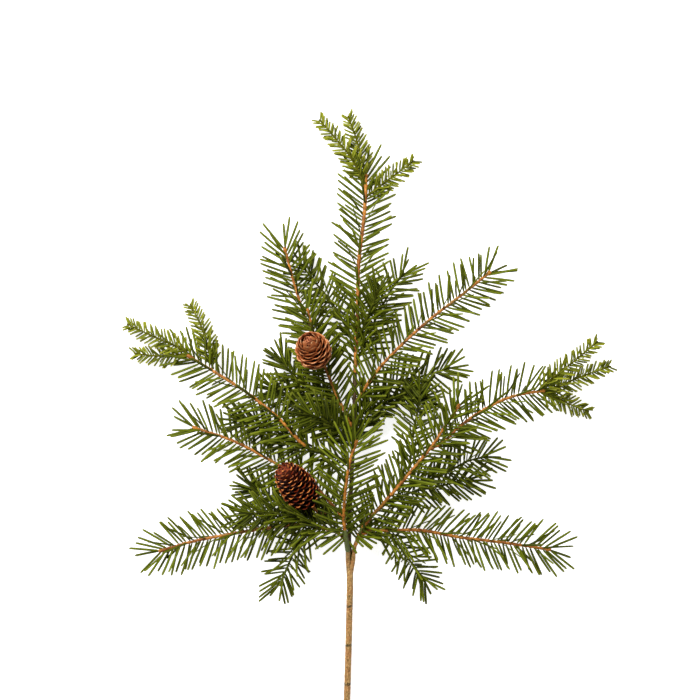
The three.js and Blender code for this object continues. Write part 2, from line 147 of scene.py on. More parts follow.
# name: base radius, tip radius, needle length, how it is dressed, route
SPRAYS = {
    "leader_spray": (1.6, 1.45, 27, "open", [
        (4, 146, 22), (6.1, 197, 21), (7, 234, 19), (11, 268, 17), (12.6, 290, 15), (12.4, 306, 14)]),
    "front_spray": (1.5, 1.05, 30, "open", [
        (0.1, -5, 18), (-1.8, 4, 25), (-3.2, 14, 32), (-4.8, 28, 38), (-4.4, 44, 44), (-0.1, 76, 48),
        (5.6, 93, 48)]),
    "left_upper_spray": (1.4, 1.1, 27, "open", [
        (1.6, 72, 21), (-10, 78, 28), (-20, 81, 32), (-36, 88, 34), (-55, 108, 33), (-81, 129, 29),
        (-106, 145, 25), (-130.6, 159.8, 21)]),
    "right_branch_spray": (1.5, 1.1, 27, "open", [
        (0.2, -4, 18), (3.2, 4, 21), (6.4, 14, 25), (10, 22, 29), (16, 30, 33), (34, 51, 40), (54, 75, 43),
        (64, 87, 44), (73, 100, 42), (87, 121, 38)]),
    "right_outer_spray": (1.3, 1.1, 27, "open", [
        (64, 86, 44), (75, 92, 42), (84, 101, 40), (99, 112, 37), (119, 123, 31), (134, 128, 27),
        (156, 131.5, 22)]),
    "right_upper_spray": (1.3, 1.1, 26, "open", [
        (3.6, 120, 22), (19, 144, 28), (40, 167, 31), (67, 191, 29), (88, 207, 25), (113, 227, 18)]),
    "right_lower_spray": (1.45, 1.15, 27, "open", [
        (5.5, 12, 24), (11, 17, 27), (18, 20.5, 29), (32, 20, 29), (56, 20, 27), (87, 14, 21), (123, 9, 15),
        (162, 3, 12)]),
    "left_lower_spray": (1.45, 1.15, 27, "open", [
        (-2.8, 11, 30), (-8, 17, 30), (-16, 20.5, 30), (-36, 25, 30), (-64, 22, 27), (-103, 15, 20),
        (-130, 9, 15), (-154, 1.6, 12)]),
    "left_middle_spray": (1.3, 1.05, 27, "open", [
        (0.6, 22, 20), (-6, 30, 18), (-14, 39, 16), (-24, 50, 15), (-40, 62, 15), (-60, 73, 16),
        (-92, 90, 16), (-127, 102, 13)]),
    "upper_left_spray": (1.25, 1.05, 27, "open", [
        (3, 100, 22), (-6, 118, 22), (-16, 140, 21), (-24, 163, 19), (-33, 182, 17), (-43, 211, 15),
        (-53, 247, 13)]),
    "cone_bearing_spray": (1.1, 0.8, 24, "open", [
        (-15, 138, 21), (-20, 150, 27), (-26, 166, 31), (-30, 182, 33), (-34, 197, 34)]),
    "left_front_spray": (1.0, 0.8, 24, "full", [
        (-20, 20, 30), (-32, 28, 33), (-48, 33, 35), (-68, 34, 33), (-84, 33.6, 30)]),
    "left_raised_spray": (1.0, 0.8, 24, "full", [
        (2.2, 84, 22), (-4, 95, 30), (-20, 108, 40), (-36, 114, 45)]),
    "right_inner_spray": (1.0, 0.8, 23, "combed", [
        (43, 60, 41), (52, 60, 38), (62, 61, 35), (78, 67, 31), (94, 75, 26), (111, 79, 22)]),
    "right_upright_spray": (1.0, 0.8, 20, "combed", [
        (46, 66, 42), (48.5, 82, 36), (51, 100, 31), (54, 116, 28), (57, 137, 25)]),
    "upper_right_raised_spray": (1.0, 0.8, 22, "combed", [
        (5.4, 172, 22), (10, 181, 28), (16, 195, 34), (22.4, 212, 40)]),
    "upper_right_spray": (1.0, 0.8, 22, "combed", [
        (4.4, 154, 22), (12, 168, 24), (22.6, 193, 23), (35, 215, 20), (44, 226, 17)]),
    "left_upper_side_spray": (1.0, 0.8, 22, "full", [
        (-28, 83, 33), (-40, 88, 27), (-54, 96, 23), (-72, 104, 20), (-89, 108, 17)]),
    "left_lower_side_spray": (1.0, 0.8, 22, "combed", [
        (-27, 23, 29), (-35, 15, 26), (-42, 8, 23), (-50, -10, 16), (-57, -26, 12)]),
    "right_lower_side_spray": (1.0, 0.8, 21, "combed", [
        (30, 20, 29), (37, 10, 24), (43, 2, 21), (52, -10.5, 16), (61, -23, 12)]),
    "right_inner_lower_spray": (1.0, 0.8, 22, "combed", [
        (24, 39, 36), (37, 45, 29), (50, 50, 22), (70, 54, 16), (88, 58, 13), (99, 59, 12)]),
    "right_middle_lower_spray": (1.0, 0.8, 20, "full", [
        (2, 84, 22), (9, 104, 20), (21, 119, 19), (40, 126, 20), (60, 126, 19)]),
    "right_middle_spray": (1.1, 0.8, 22, "combed", [
        (3.1, 104, 22), (20, 125, 18), (32, 135, 16), (47, 141, 15), (59, 143, 14), (81, 150, 13)]),
    "upper_left_inner_spray": (0.95, 0.8, 20, "combed", [
        (5.2, 170, 22), (-4, 184, 20), (-16, 204, 17), (-26, 216, 14), (-40, 234, 11)]),
    "left_inner_spray": (0.95, 0.75, 21, "full", [
        (-8, 122, 22), (-18, 127, 17), (-36, 136, 14), (-48, 146, 13), (-55, 157, 12)]),
    "left_back_spray": (0.95, 0.75, 22, "full", [
        (2.6, 94, 22), (-8, 106, 17), (-28, 120, 13), (-45, 127, 12), (-62, 132, 12)]),
    "left_low_spray": (0.95, 0.75, 22, "full", [
        (-10, 34, 17), (-20, 35, 14), (-32, 38, 12), (-54, 41, 12), (-70, 48, 12), (-80, 54, 12)]),
}

FRESH_SHOOTS = {
    "fresh_top_middle": [(12.4, 305, 14), (9.1, 320, 14), (3.8, 338, 12), (-1.6, 353, 10)],
    "fresh_top_left": [(12.5, 297, 15), (6, 309, 19), (-0.2, 320, 19), (-8.2, 330, 17), (-24.8, 350, 11)],
    "fresh_top_right": [(12.6, 287, 15), (23, 295, 17), (37.6, 306, 15), (52, 317, 10)],
    "fresh_right_middle": [(155, 131.4, 22), (163, 133, 21), (182, 141, 17), (210, 151, 11)],
    "fresh_right_upper": [(150, 130.6, 23), (163, 142, 24), (180, 155, 19), (200, 171, 11)],
    "fresh_right_lower": [(152, 131, 23), (161, 127, 20), (169, 124, 18), (178, 120, 15), (193, 114, 10)],
    "fresh_left_middle": [(-129.6, 159.6, 21), (-136, 160, 20), (-151, 159, 16), (-174, 161, 11)],
    "fresh_left_upper": [
        (-125, 157, 19), (-134, 164, 20), (-149, 171, 19), (-163, 177, 15), (-180, 185, 10)],
    "fresh_left_raised": [(-110, 148.5, 20), (-114, 166, 21), (-120, 184, 18), (-129, 201, 12)],
}

# name: the spray that the part follows, its own points in place of that spray's first, the radius at its
# foot, and the distances along its route where it starts and ends
FORK_PARTS = {
    "fork_left_prong": ("front_spray", [(-0.2, -20, 16), (-0.9, -12, 17.5), (-1.6, -4, 20.5)], 2.3, 0, 30),
    "fork_right_prong": (
        "right_branch_spray", [(0, -20, 16), (1.2, -12, 17.5), (2.6, -4, 19.5)], 2.1, 0, 43),
    "fork_collar": ("front_spray", [(0.1, -5, 18)], 2.3, 11, 32),
}
PRONG_TAPER = 0.02

# How much of these twigs above the fork is bare, and the needles that hang down there, from root to tip
FORK_CLEAR = {"front_spray": 24, "right_branch_spray": 17}
FORK_NEEDLES = {
    "front_spray": [
        ((-4, 16, 33), (-21.6, 0.8, 31)), ((-4.6, 19, 35), (-24, 8, 35)), ((-3.4, 14, 33), (-14, 3.5, 35)),
        ((-1, 12.2, 34), (5.6, 2.1, 33)), ((-5, 24, 37), (-27, 15, 38))],
    "right_branch_spray": [
        ((4.6, 15.4, 27), (17.6, 4.6, 27)), ((5.2, 16.5, 28), (18.6, 6.4, 30)), ((6, 18, 29), (21.5, 9, 29)),
        ((8.5, 21, 30), (27, 13, 31)), ((4.2, 13.6, 27), (10.5, 6.5, 30))],
}
HANGING_BOW = 0.06
HANGING_TONES = (0.4, 1)


class Cone(NamedTuple):
    """A cone: its scales, how they open and close, its stalk and where its tip lies."""

    slot: str
    fullness: float  # a lower value is more like a barrel
    count: int  # how many scales it has
    width: float  # the width of a scale
    first_open: float  # how far its first scales stand open, in degrees
    last_open: float  # the same for its last scales
    closing: float  # how late they close
    bud_fill: float  # how much of its outer form the bud at its tip fills
    bud_to: float  # the share of its length where the bud ends
    stalk: list
    tip: tuple


CONES = {
    "cone_upper": Cone(
        "pale_cone", 0.5, 70, 14, 66, -30, 1.6, 0.5, 0.93,
        [(-22.5, 156, 29), (-24.3, 154.4, 33), (-25.5, 156, 36)], (-33.7, 173.6, 66)),
    "cone_lower": Cone(
        "dark_cone", 0.33, 140, 10.4, 80, -34, 2.6, 0.8, 0.95,
        [(-16, 41, 16), (-18, 35, 19), (-24, 33, 23.5), (-31, 41, 30)], (-53.8, 72, 55)),
}


# Modelling by hand

def deselect_all():
    bpy.ops.object.select_all(action="DESELECT")


def pick(test):
    """In edit mode, selects the points whose place passes the test."""
    mesh = bmesh.from_edit_mesh(bpy.context.object.data)
    for point in mesh.verts:
        point.select_set(test(point.co))
    mesh.select_flush(True)
    mesh.select_flush(False)
    bmesh.update_edit_mesh(bpy.context.object.data)


def apply_all():
    bpy.ops.object.transform_apply(location=True, rotation=True, scale=True)


class Pattern:
    """A shape modelled once, kept as its points, faces and place along and across it, to be copied."""

    def __init__(self, shape):
        self.points = [vertex.co.copy() for vertex in shape.data.vertices]
        self.faces = [tuple(face.vertices) for face in shape.data.polygons]
        bpy.data.objects.remove(shape)


# Edges that turn by more degrees than this stay sharp
SHARP_FROM = 38


def fused_copies(name, pattern, copies):
    """One mesh of many copies of a pattern. Each copy is a function that places a point, and a tone."""
    points, faces, spots, tones = [], [], [], []
    for place, tone in copies:
        first = len(points)
        points += [place(point) * MM - MIDDLE * MM for point in pattern.points]
        tones += [tone] * len(pattern.points)
        faces += [tuple(first + corner for corner in face) for face in pattern.faces]
        spots += [(pattern.points[c].x + 0.5, pattern.points[c].y) for face in pattern.faces for c in face]
    mesh = bpy.data.meshes.new(name)
    mesh.from_pydata(points, [], faces)
    blade = mesh.uv_layers.new(name="blade")
    blade.data.foreach_set("uv", [value for spot in spots for value in spot])
    tone = mesh.attributes.new("tone", "FLOAT", "POINT")
    tone.data.foreach_set("value", tones)
    piece = bpy.data.objects.new(name, mesh)
    bpy.context.collection.objects.link(piece)
    deselect_all()
    piece.select_set(True)
    bpy.context.view_layer.objects.active = piece
    bpy.ops.object.shade_smooth_by_angle(angle=math.radians(SHARP_FROM))
    return piece


def hand_in(piece, finish, slot, *nodes):
    """Gives a finished piece its material, its body and the solids that it stands for; the slot is not used.
    """
    piece.data.materials.clear()
    piece.data.materials.append(finish)
    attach(piece, "root")
    if nodes:
        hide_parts(*nodes)


# Routes

class Route:
    """A smooth curve through given points, with the twig's own axes at any place on it."""

    FINE = 16

    def __init__(self, points):
        p = [Vector(point) for point in points]
        p = [2 * p[0] - p[1], *p, 2 * p[-1] - p[-2]]
        self.places = []
        for a, b, c, d in zip(p, p[1:], p[2:], p[3:]):
            self.places += [self.between(a, b, c, d, i / self.FINE) for i in range(self.FINE)]
        self.places.append(p[-2])
        self.marks = [0]
        for a, b in zip(self.places, self.places[1:]):
            self.marks.append(self.marks[-1] + (b - a).length)
        self.length = self.marks[-1]

    @staticmethod
    def between(a, b, c, d, share):
        """Centripetal Catmull-Rom, from b to c."""
        t1 = (b - a).length ** 0.5
        t2 = t1 + (c - b).length ** 0.5
        t3 = t2 + (d - c).length ** 0.5
        t = t1 + (t2 - t1) * share
        ab = a.lerp(b, t / t1)
        bc = b.lerp(c, (t - t1) / (t2 - t1))
        cd = c.lerp(d, (t - t2) / (t3 - t2))
        abc = ab.lerp(bc, t / t2)
        bcd = bc.lerp(cd, (t - t1) / (t3 - t1))
        return abc.lerp(bcd, (t - t1) / (t2 - t1))

    def at(self, distance):
        """The place at a distance along the route, in millimetres."""
        for i, mark in enumerate(self.marks[1:]):
            if distance <= mark or i == len(self.marks) - 2:
                share = (distance - self.marks[i]) / (mark - self.marks[i])
                return self.places[i].lerp(self.places[i + 1], share)

    def axes(self, distance):
        """Along the twig, level across it, and over it."""
        step = 1.5
        low, high = max(0, distance - step), min(self.length, distance + step)
        along = (self.at(high) - self.at(low)).normalized()
        across = along.cross(UP).normalized()
        return along, across, across.cross(along)


# Wood

def model_rod(name, route, radius_at, lump, first=0, last=None):
    """A round rod along a route, with lumpy bark."""
    deselect_all()
    bpy.ops.curve.primitive_nurbs_path_add()
    rod = bpy.context.object
    rod.name = name
    line = rod.data
    line.splines.clear()
    last = route.length if last is None else last
    rings = max(3, round((last - first) / RING_EVERY))
    spline = line.splines.new("POLY")
    spline.points.add(rings)
    for i, point in enumerate(spline.points):
        distance = first + (last - first) * i / rings
        point.co = (*(route.at(distance) - MIDDLE) * MM, 1)
        point.radius = radius_at(distance)
    line.dimensions = "3D"
    line.bevel_depth = MM
    line.bevel_resolution = ROD_DETAIL
    line.use_fill_caps = True
    bpy.ops.object.convert(target="MESH")
    rod = bpy.context.object
    for vertex in rod.data.vertices:
        vertex.co.z = max(vertex.co.z, FLOOR_FLAT * MM)
    bumps = bpy.data.textures.new(name + "_bark", "CLOUDS")
    bumps.noise_scale = lump * LUMP_SPREAD * MM
    lumps = rod.modifiers.new("bark", "DISPLACE")
    lumps.texture = bumps
    lumps.texture_coords = "LOCAL"
    lumps.strength = lump * MM
    lumps.mid_level = 0.5
    bpy.ops.object.modifier_apply(modifier="bark")
    bpy.ops.object.shade_smooth()
    return rod


def twig_radius(route, base, tip, budded):
    """The radius along a twig, knobbly where the needles sit, and swollen to a bud at a budded end."""
    def radius_at(distance):
        plain = base + (tip - base) * distance / route.length
        plain *= 1 + KNOB_SWELL * math.sin(2 * math.pi * distance / KNOB_EVERY)
        left = route.length - distance
        if not budded or left > BUD_LENGTH:
            return plain
        share = left / BUD_LENGTH
        rise = (BUD_CURVE["from"] + BUD_CURVE["span"] * share) ** BUD_CURVE["skew"]
        return plain * BUD_SWELL * math.sin(math.pi * rise) ** BUD_CURVE["bluntness"]
    return radius_at


# Needles

NEEDLE_RINGS = (
    (0, 0.4), (0.05, 0.45), (0.13, 0.86), (0.4, 1), (0.8, 1), (0.94, 0.92), (0.985, 0.7), (1, 0.4))
NEEDLE_RIDGE = 0.5

# How near a point of a pattern lies to a ring, or to the middle line, that it belongs to
NEAR = 0.004
NEAR_MIDDLE = 0.01


def model_needle():
    """A blade one long and one wide: narrow at its foot, ridged above, keeled below, blunt at its tip."""
    deselect_all()
    bpy.ops.mesh.primitive_cylinder_add(
        vertices=4, radius=0.5, depth=1, location=(0, 0.5, 0), rotation=(-math.pi / 2, 0, 0))
    apply_all()
    bpy.ops.object.mode_set(mode="EDIT")
    bpy.ops.mesh.select_mode(type="VERT")
    for along, _ in NEEDLE_RINGS[1:-1]:
        bpy.ops.mesh.select_all(action="SELECT")
        bpy.ops.mesh.bisect(plane_co=(0, along, 0), plane_no=(0, 1, 0))
    for along, width in NEEDLE_RINGS:
        pick(lambda place: abs(place.y - along) < NEAR)
        bpy.ops.transform.resize(value=(width, 1, width), center_override=(0, along, 0))
    pick(lambda place: abs(place.x) < NEAR_MIDDLE and place.z > 0)
    bpy.ops.transform.resize(value=(1, 1, NEEDLE_RIDGE), center_override=(0, 0, 0))
    bpy.ops.object.mode_set(mode="OBJECT")
    return Pattern(bpy.context.object)


def needle_copy(root, heading, face, length, width, bow, tone):
    """Places one needle: from its root along its heading, its upper face towards face, bowed sideways."""
    side = face.cross(heading).normalized() * -1
    over = side.cross(heading).normalized()
    thickness = NEEDLE_THICKNESS * width / NEEDLE_WIDTH

    def place(point):
        spot = root + heading * (point.y * length) + bow * point.y ** 2
        spot += side * (point.x * width) + over * (point.z * thickness)
        spot.z = max(LOWEST_POINT, spot.z)
        return spot
    return place, tone


# A needle is clear of a cone if these shares of it stay outside a capsule round the cone's middle
CHECKED_SHARES = (0.35, 0.6, 0.8, 1)
CAPSULE_FROM = 0.2
CAPSULE_TO = 0.8
CAPSULE_FILL = 0.98
CONE_AXES = [(Vector(cone.stalk[-1]), Vector(cone.tip)) for cone in CONES.values()]


def clear_of_cones(root, tip):
    """True if a straight needle from root to tip misses both cones."""
    for base, end in CONE_AXES:
        for share in CHECKED_SHARES:
            spot = root.lerp(tip, share)
            reach = (spot - base).dot(end - base) / (end - base).length_squared
            nearest = base.lerp(end, max(CAPSULE_FROM, min(CAPSULE_TO, reach)))
            if (spot - nearest).length < CONE_RADIUS * CAPSULE_FILL:
                return False
    return True


def needle_copies(route, needle, dress, width, taper, first, covered):
    """All needles of one twig, from its tip back to its foot, in rows pressed towards its two sides."""
    look = DRESS[dress]
    copies = []
    count = int((route.length - first) / look.every)
    for i in range(count):
        from_tip = FIRST_NEEDLE + look.every * i
        distance = route.length - from_tip
        share = distance / route.length
        turn = math.radians(ROW_TURN * i)
        foot = max(0, 1 - distance / covered)
        near_tip = max(0, 1 - from_tip / TIP_STRETCH)
        pressed = (look.flatten + TIP_PRESS * near_tip) * (1 - foot)
        roll = turn - pressed * math.sin(2 * turn)
        roll += math.radians(dice.uniform(-ROLL_SPREAD, ROLL_SPREAD))
        lean = look.lean + (look.tip_lean - look.lean) * near_tip
        lean += dice.uniform(-LEAN_SPREAD, LEAN_SPREAD)
        length = needle * (1 + (taper - 1) * share) * dice.uniform(*LENGTHS)
        length *= 1 - FOOT_SHORTER * max(0, 1 - distance / FOOT_STRETCH)
        bow_size = dice.uniform(*BOWS) * length
        drop = dice.uniform(*DROPS) * length
        tone = dice.uniform(look.dull, look.bright)
        along, across, over = route.axes(distance)
        root = route.at(distance)
        for shift in TURNS_ASIDE:
            angle = roll + math.radians(shift)
            out = across * math.cos(angle) + over * math.sin(angle)
            tilt = math.radians(lean - (look.press + FOOT_PRESS * foot) * max(0, math.sin(angle)))
            heading = along * math.cos(tilt) + out * math.sin(tilt)
            tip = root + heading * length
            if not FLOOR_ROOM < tip.z < HIGHEST_TIP:
                low = tip.z < FLOOR_ROOM
                tip.z = FLOOR_ROOM + FLOOR_SPREAD * tone if low else HIGHEST_TIP - TOP_SPREAD * tone
                heading = (tip - root).normalized()
            if not clear_of_cones(root, tip):
                continue
            face = over * (abs(math.cos(angle)) + FACE_LIFT)
            face += along * (FACE_TURN * abs(math.sin(angle)))
            face += across * dice.uniform(-FACE_SPREAD, FACE_SPREAD)
            bow = along * bow_size + UP * max(drop, FLOOR_ROOM - tip.z)
            copies.append(needle_copy(root, heading, face, length, width, bow, tone))
            break
    return copies


# Cones

SCALE_ROWS = ((0, 0.3), (0.35, 0.62), (0.65, 0.95), (0.85, 1), (1, 0.84))
SCALE_COLUMNS = 6
SCALE_RIM_DROP = 0.07
SCALE_CUP = 0.05
SCALE_FLARE = 0.03
SCALE_WALL = 0.06
SCALE_REACH = 12
SCALE_TURN_SPREAD = 6
SCALE_OPEN_SPREAD = 7
SCALE_WIDTHS = (0.9, 1.08)
FIRST_SCALE = 0.1
HEART_SHARE = 0.3
OPEN_TONES = (0, 0.6)
CLOSED_TONE = 1
CLOSED_FROM = 0.86
SCALE_RISE = 0.82
SMALLEST_BREADTH = 0.12
FINE_SCALES_FROM = 100
HEART_FILL = 0.4
HEART_FROM = 0.01
HEART_TO = 0.85
BUD_FROM = 0.7
STALK_TO = 0.12
PROFILE_END = 0.998

# How far out from its middle line a scale's rim drops back, in two steps, and from where along it
RIM_STEPS = (0.2, 0.38)
RIM_FROM = 0.75
FLARE_FROM = 0.86


def model_scale(soft):
    """A rounded cone scale one long and one wide, hugging the cone, with its rim turned out a little."""
    deselect_all()
    bpy.ops.mesh.primitive_grid_add(
        x_subdivisions=SCALE_COLUMNS, y_subdivisions=1, size=1, location=(0, 0.5, 0))
    apply_all()
    bpy.ops.object.mode_set(mode="EDIT")
    bpy.ops.mesh.select_mode(type="VERT")
    for along, _ in SCALE_ROWS[1:-1]:
        bpy.ops.mesh.select_all(action="SELECT")
        bpy.ops.mesh.bisect(plane_co=(0, along, 0), plane_no=(0, 1, 0))
    for column in (3, 2, 1):
        pick(lambda place: abs(place.x) > column / SCALE_COLUMNS - NEAR_MIDDLE)
        bpy.ops.transform.translate(value=(0, 0, SCALE_CUP))
    for along, width in SCALE_ROWS:
        pick(lambda place: abs(place.y - along) < NEAR)
        bpy.ops.transform.resize(value=(width, 1, 1), center_override=(0, along, 0))
    for reach in RIM_STEPS:
        pick(lambda place: abs(place.x) > reach and place.y > RIM_FROM)
        bpy.ops.transform.translate(value=(0, -SCALE_RIM_DROP, 0))
    pick(lambda place: place.y > FLARE_FROM)
    bpy.ops.transform.translate(value=(0, 0, -SCALE_FLARE))
    bpy.ops.object.mode_set(mode="OBJECT")
    scale = bpy.context.object
    wall = scale.modifiers.new("wall", "SOLIDIFY")
    wall.thickness = SCALE_WALL
    wall.offset = 0
    bpy.ops.object.modifier_apply(modifier="wall")
    if soft:
        rounding = scale.modifiers.new("rounding", "SUBSURF")
        rounding.levels = rounding.render_levels = 1
        bpy.ops.object.modifier_apply(modifier="rounding")
    return Pattern(scale)


def cone_profile(share, fullness):
    """The outer radius of a cone at a share of its length."""
    return CONE_RADIUS * math.sin(math.pi * min(share, PROFILE_END) ** CONE_WIDEST) ** fullness


def scale_copy(base, axis, share, outer, turn, open_angle, width, tone):
    """Places one scale: its rim on the cone's outer form, its foot near the cone's axis."""
    along = axis.normalized()
    side = along.cross(UP).normalized()
    out = Matrix.Rotation(turn, 3, along) @ side
    reach = SCALE_REACH
    if open_angle > 0:
        reach = min(SCALE_REACH, outer * (1 - HEART_SHARE) / math.sin(open_angle))
    foot = outer - reach * math.sin(open_angle)
    heading = along * math.cos(open_angle) + out * math.sin(open_angle)
    inner = along * math.sin(open_angle) - out * math.cos(open_angle)
    across = heading.cross(inner)
    root = base + axis * share - along * (reach * math.cos(open_angle)) + out * foot
    breadth = width * (SMALLEST_BREADTH + (1 - SMALLEST_BREADTH) * outer / CONE_RADIUS)

    def place(point):
        spot = root + heading * (point.y * reach)
        return spot + across * (point.x * breadth) + inner * (point.z * breadth)
    return place, tone


def scale_copies(cone, base, tip):
    """Scales in a spiral round the cone's axis, open at the base and closing towards the tip."""
    copies = []
    for i in range(cone.count):
        rise = (i + 0.5) / cone.count
        turn = math.radians(ROW_TURN * i + dice.uniform(-SCALE_TURN_SPREAD, SCALE_TURN_SPREAD))
        open_angle = cone.first_open + (cone.last_open - cone.first_open) * rise ** cone.closing
        open_angle = math.radians(open_angle + dice.uniform(-SCALE_OPEN_SPREAD, SCALE_OPEN_SPREAD))
        share = FIRST_SCALE + (1 - FIRST_SCALE) * rise ** SCALE_RISE
        tone = dice.uniform(*OPEN_TONES) if rise < CLOSED_FROM else CLOSED_TONE
        copies.append(scale_copy(
            base, tip - base, share, cone_profile(share, cone.fullness), turn, open_angle,
            cone.width * dice.uniform(*SCALE_WIDTHS), tone))
    return copies


def model_cone_core(name, base, tip, fullness, fill, first, last):
    """The inside of the cone between two shares of its length, filling a share of its outer form."""
    route = Route([base, base.lerp(tip, 0.5), tip])
    return model_rod(
        name, route, lambda distance: fill * cone_profile(distance / route.length, fullness), LUMPS["core"],
        first * route.length, last * route.length)


# Shader maths

class Value:
    """A number or colour that changes over a surface. Sums and products of numbers add Math nodes."""

    def __init__(self, finish, socket):
        self.finish = finish
        self.socket = socket

    def maths(self, operation, *terms):
        return self.finish.node("ShaderNodeMath", {"operation": operation}, dict(enumerate(terms)))

    def __add__(self, other):
        return self.maths("ADD", self, other)

    def __radd__(self, other):
        return self.maths("ADD", other, self)

    def __sub__(self, other):
        return self.maths("SUBTRACT", self, other)

    def __rsub__(self, other):
        return self.maths("SUBTRACT", other, self)

    def __mul__(self, other):
        return self.maths("MULTIPLY", self, other)

    def __rmul__(self, other):
        return self.maths("MULTIPLY", other, self)

    def __pow__(self, other):
        return self.maths("POWER", self, other)

    def __abs__(self):
        return self.maths("ABSOLUTE", self)

    def above(self, edge, soft):
        """0 below the edge and 1 above it, with a soft step between."""
        return self.finish.node(
            "ShaderNodeMapRange", {"interpolation_type": "SMOOTHSTEP"},
            {"Value": self, "From Min": edge - soft, "From Max": edge + soft})


class Finish:
    """A material: uniform values are set on the shader, and values that vary are fed to it."""

    def __init__(self, name, **uniform):
        self.material = bpy.data.materials.new(name)
        self.material.use_nodes = True
        self.tree = self.material.node_tree
        self.shader = self.tree.nodes["Principled BSDF"]
        for socket, value in uniform.items():
            self.shader.inputs[socket.replace("_", " ")].default_value = value

    def node(self, kind, settings=None, inputs=None, output=0):
        made = self.tree.nodes.new(kind)
        for key, value in (settings or {}).items():
            setattr(made, key, value)
        for key, value in (inputs or {}).items():
            self.feed(made.inputs[key], value)
        return Value(self, made.outputs[output])

    def feed(self, socket, value):
        if isinstance(value, Value):
            self.tree.links.new(value.socket, socket)
        else:
            socket.default_value = value

    def place(self):
        return self.node("ShaderNodeTexCoord", output="Object")

    def stretched(self, x, y, z):
        return self.node("ShaderNodeMapping", inputs={"Vector": self.place(), "Scale": (x, y, z)})

    def noise(self, size_mm, detail=3, vector=None):
        """Cloudy noise from 0 to 1, with features of that size."""
        return self.node("ShaderNodeTexNoise", inputs={
            "Vector": vector or self.place(), "Scale": 1 / (size_mm * MM), "Detail": detail})

    def blade(self):
        """Across and along a copied shape, each from 0 to 1."""
        spot = self.node("ShaderNodeUVMap", {"uv_map": "blade"})
        parts = self.tree.nodes.new("ShaderNodeSeparateXYZ")
        self.tree.links.new(spot.socket, parts.inputs[0])
        return Value(self, parts.outputs[0]), Value(self, parts.outputs[1])

    def tone(self):
        return self.node("ShaderNodeAttribute", {"attribute_name": "tone"}, output="Fac")

    def mix(self, share, low, high):
        return self.node("ShaderNodeMix", {"data_type": "RGBA"}, {0: share, 6: low, 7: high}, output=2)

    def bump(self, height, distance_mm):
        return self.node(
            "ShaderNodeBump", inputs={"Distance": distance_mm * MM, "Height": height}, output="Normal")

    def set(self, **varying):
        for socket, value in varying.items():
            self.feed(self.shader.inputs[socket.replace("_", " ")], value)
        return self.material


def rgb(red, green, blue):
    """A colour as it looks on a screen, 0 to 255, in the shader's own linear values."""
    def linear(value):
        value /= 255
        return value / 12.92 if value <= 0.04045 else ((value + 0.055) / 1.055) ** 2.4
    return (linear(red), linear(green), linear(blue), 1)


def needle_finish(name, deep, bright, tip_colour, tip_share):
    """Leaf green that differs from needle to needle, paler along the middle, with a pale tip and painted
    shade at its foot and edges.
    """
    finish = Finish(name, Specular_IOR_Level=0.07)
    across, along = finish.blade()
    tone = finish.tone()
    mottle = finish.noise(6)
    leaf = finish.mix(tone * 0.8 + mottle * 0.5 - 0.15, deep, bright)
    leaf = finish.mix(along ** 7 * tip_share, leaf, tip_colour)
    # Painted shade at the foot of each needle, near the twig
    foot = (1 - along) ** 6
    leaf = finish.mix(foot * 0.7, leaf, deep)
    middle = 1 - abs(across - 0.5) * 2
    leaf = finish.mix(middle.above(0.8, 0.14) * 0.3, leaf, tip_colour)
    # Painted shade along both edges, for the dark lines between overlapping needles
    leaf = finish.mix((1 - middle.above(0.26, 0.16)) * 0.7, leaf, deep)
    grain = finish.noise(0.5, detail=2)
    return finish.set(
        Base_Color=leaf,
        Roughness=grain * 0.2 + 0.45,
        Normal=finish.bump(middle * 0.7 + grain * 0.3, 0.12))


def twig_finish(name, shade, light):
    """Young orange-brown bark with paler ridges, darker patches and a trace of green."""
    finish = Finish(name, Specular_IOR_Level=0.3)
    patches = finish.noise(5, detail=4)
    flecks = finish.noise(0.9, detail=3)
    bark = finish.mix(patches.above(0.5, 0.16), shade, light)
    bark = finish.mix(flecks.above(0.55, 0.08) * 0.7, bark, rgb(108, 60, 16))
    bark = finish.mix(finish.noise(11).above(0.6, 0.06) * 0.4, bark, rgb(110, 102, 36))
    return finish.set(
        Base_Color=bark, Roughness=flecks * 0.3 + 0.4, Normal=finish.bump(flecks + patches, 0.25))


def green_twig_finish(name, shade, light):
    """Green bark of twigs that lie among their needles."""
    finish = Finish(name, Specular_IOR_Level=0.05)
    flecks = finish.noise(1.2)
    return finish.set(
        Base_Color=finish.mix(flecks, shade, light), Roughness=flecks * 0.3 + 0.6,
        Normal=finish.bump(flecks, 0.2))


